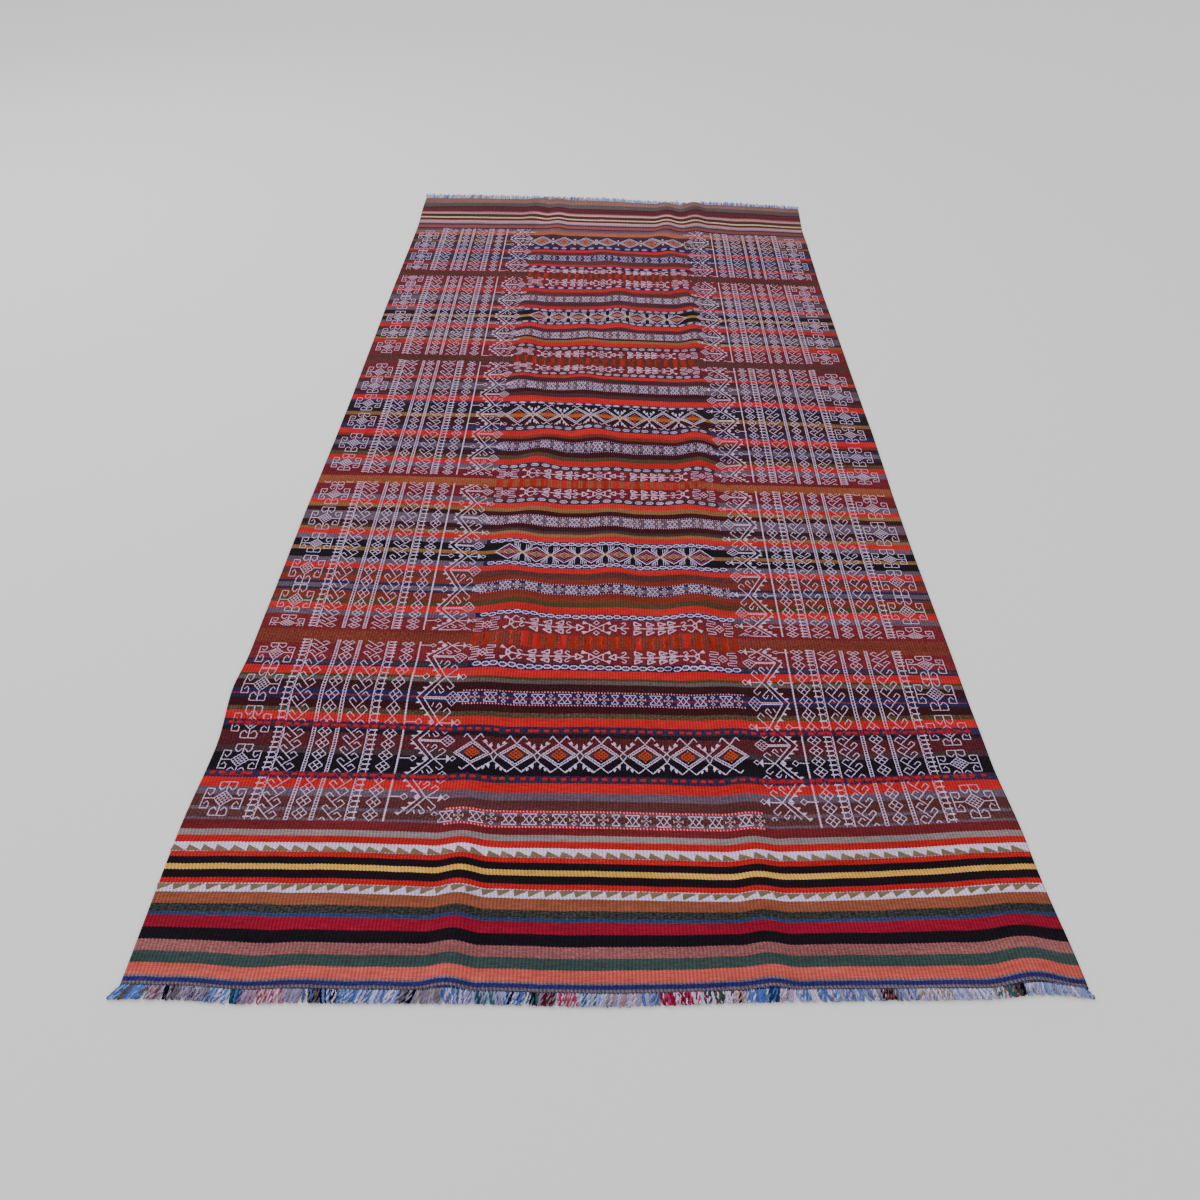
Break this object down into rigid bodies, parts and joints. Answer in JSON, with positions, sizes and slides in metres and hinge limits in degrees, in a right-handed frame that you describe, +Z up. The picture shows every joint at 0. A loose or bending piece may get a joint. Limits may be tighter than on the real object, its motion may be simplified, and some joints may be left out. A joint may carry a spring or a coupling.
{
  "type": "soumak rug",
  "caption": "Long flat-woven wool rug with brocaded bands, lying on a floor in shallow lengthwise ripples, with short looped fringe at both ends.",
  "frame": {"origin": "middle of the footprint on the floor, fringe included", "axes": "+X across the rug, +Y along it from the near end to the far end, +Z up"},
  "size_m": [1.6474, 3.6165, 0.0197],
  "materials": {
    "woven_wool": "flat-woven wool with brocaded motifs, matt",
    "fringe_yarn": "twisted wool yarn, matt"
  },
  "bodies": {
    "root": {"rug_cloth": "woven_wool", "near_fringe": "fringe_yarn", "far_fringe": "fringe_yarn"}
  },
  "joints": []
}
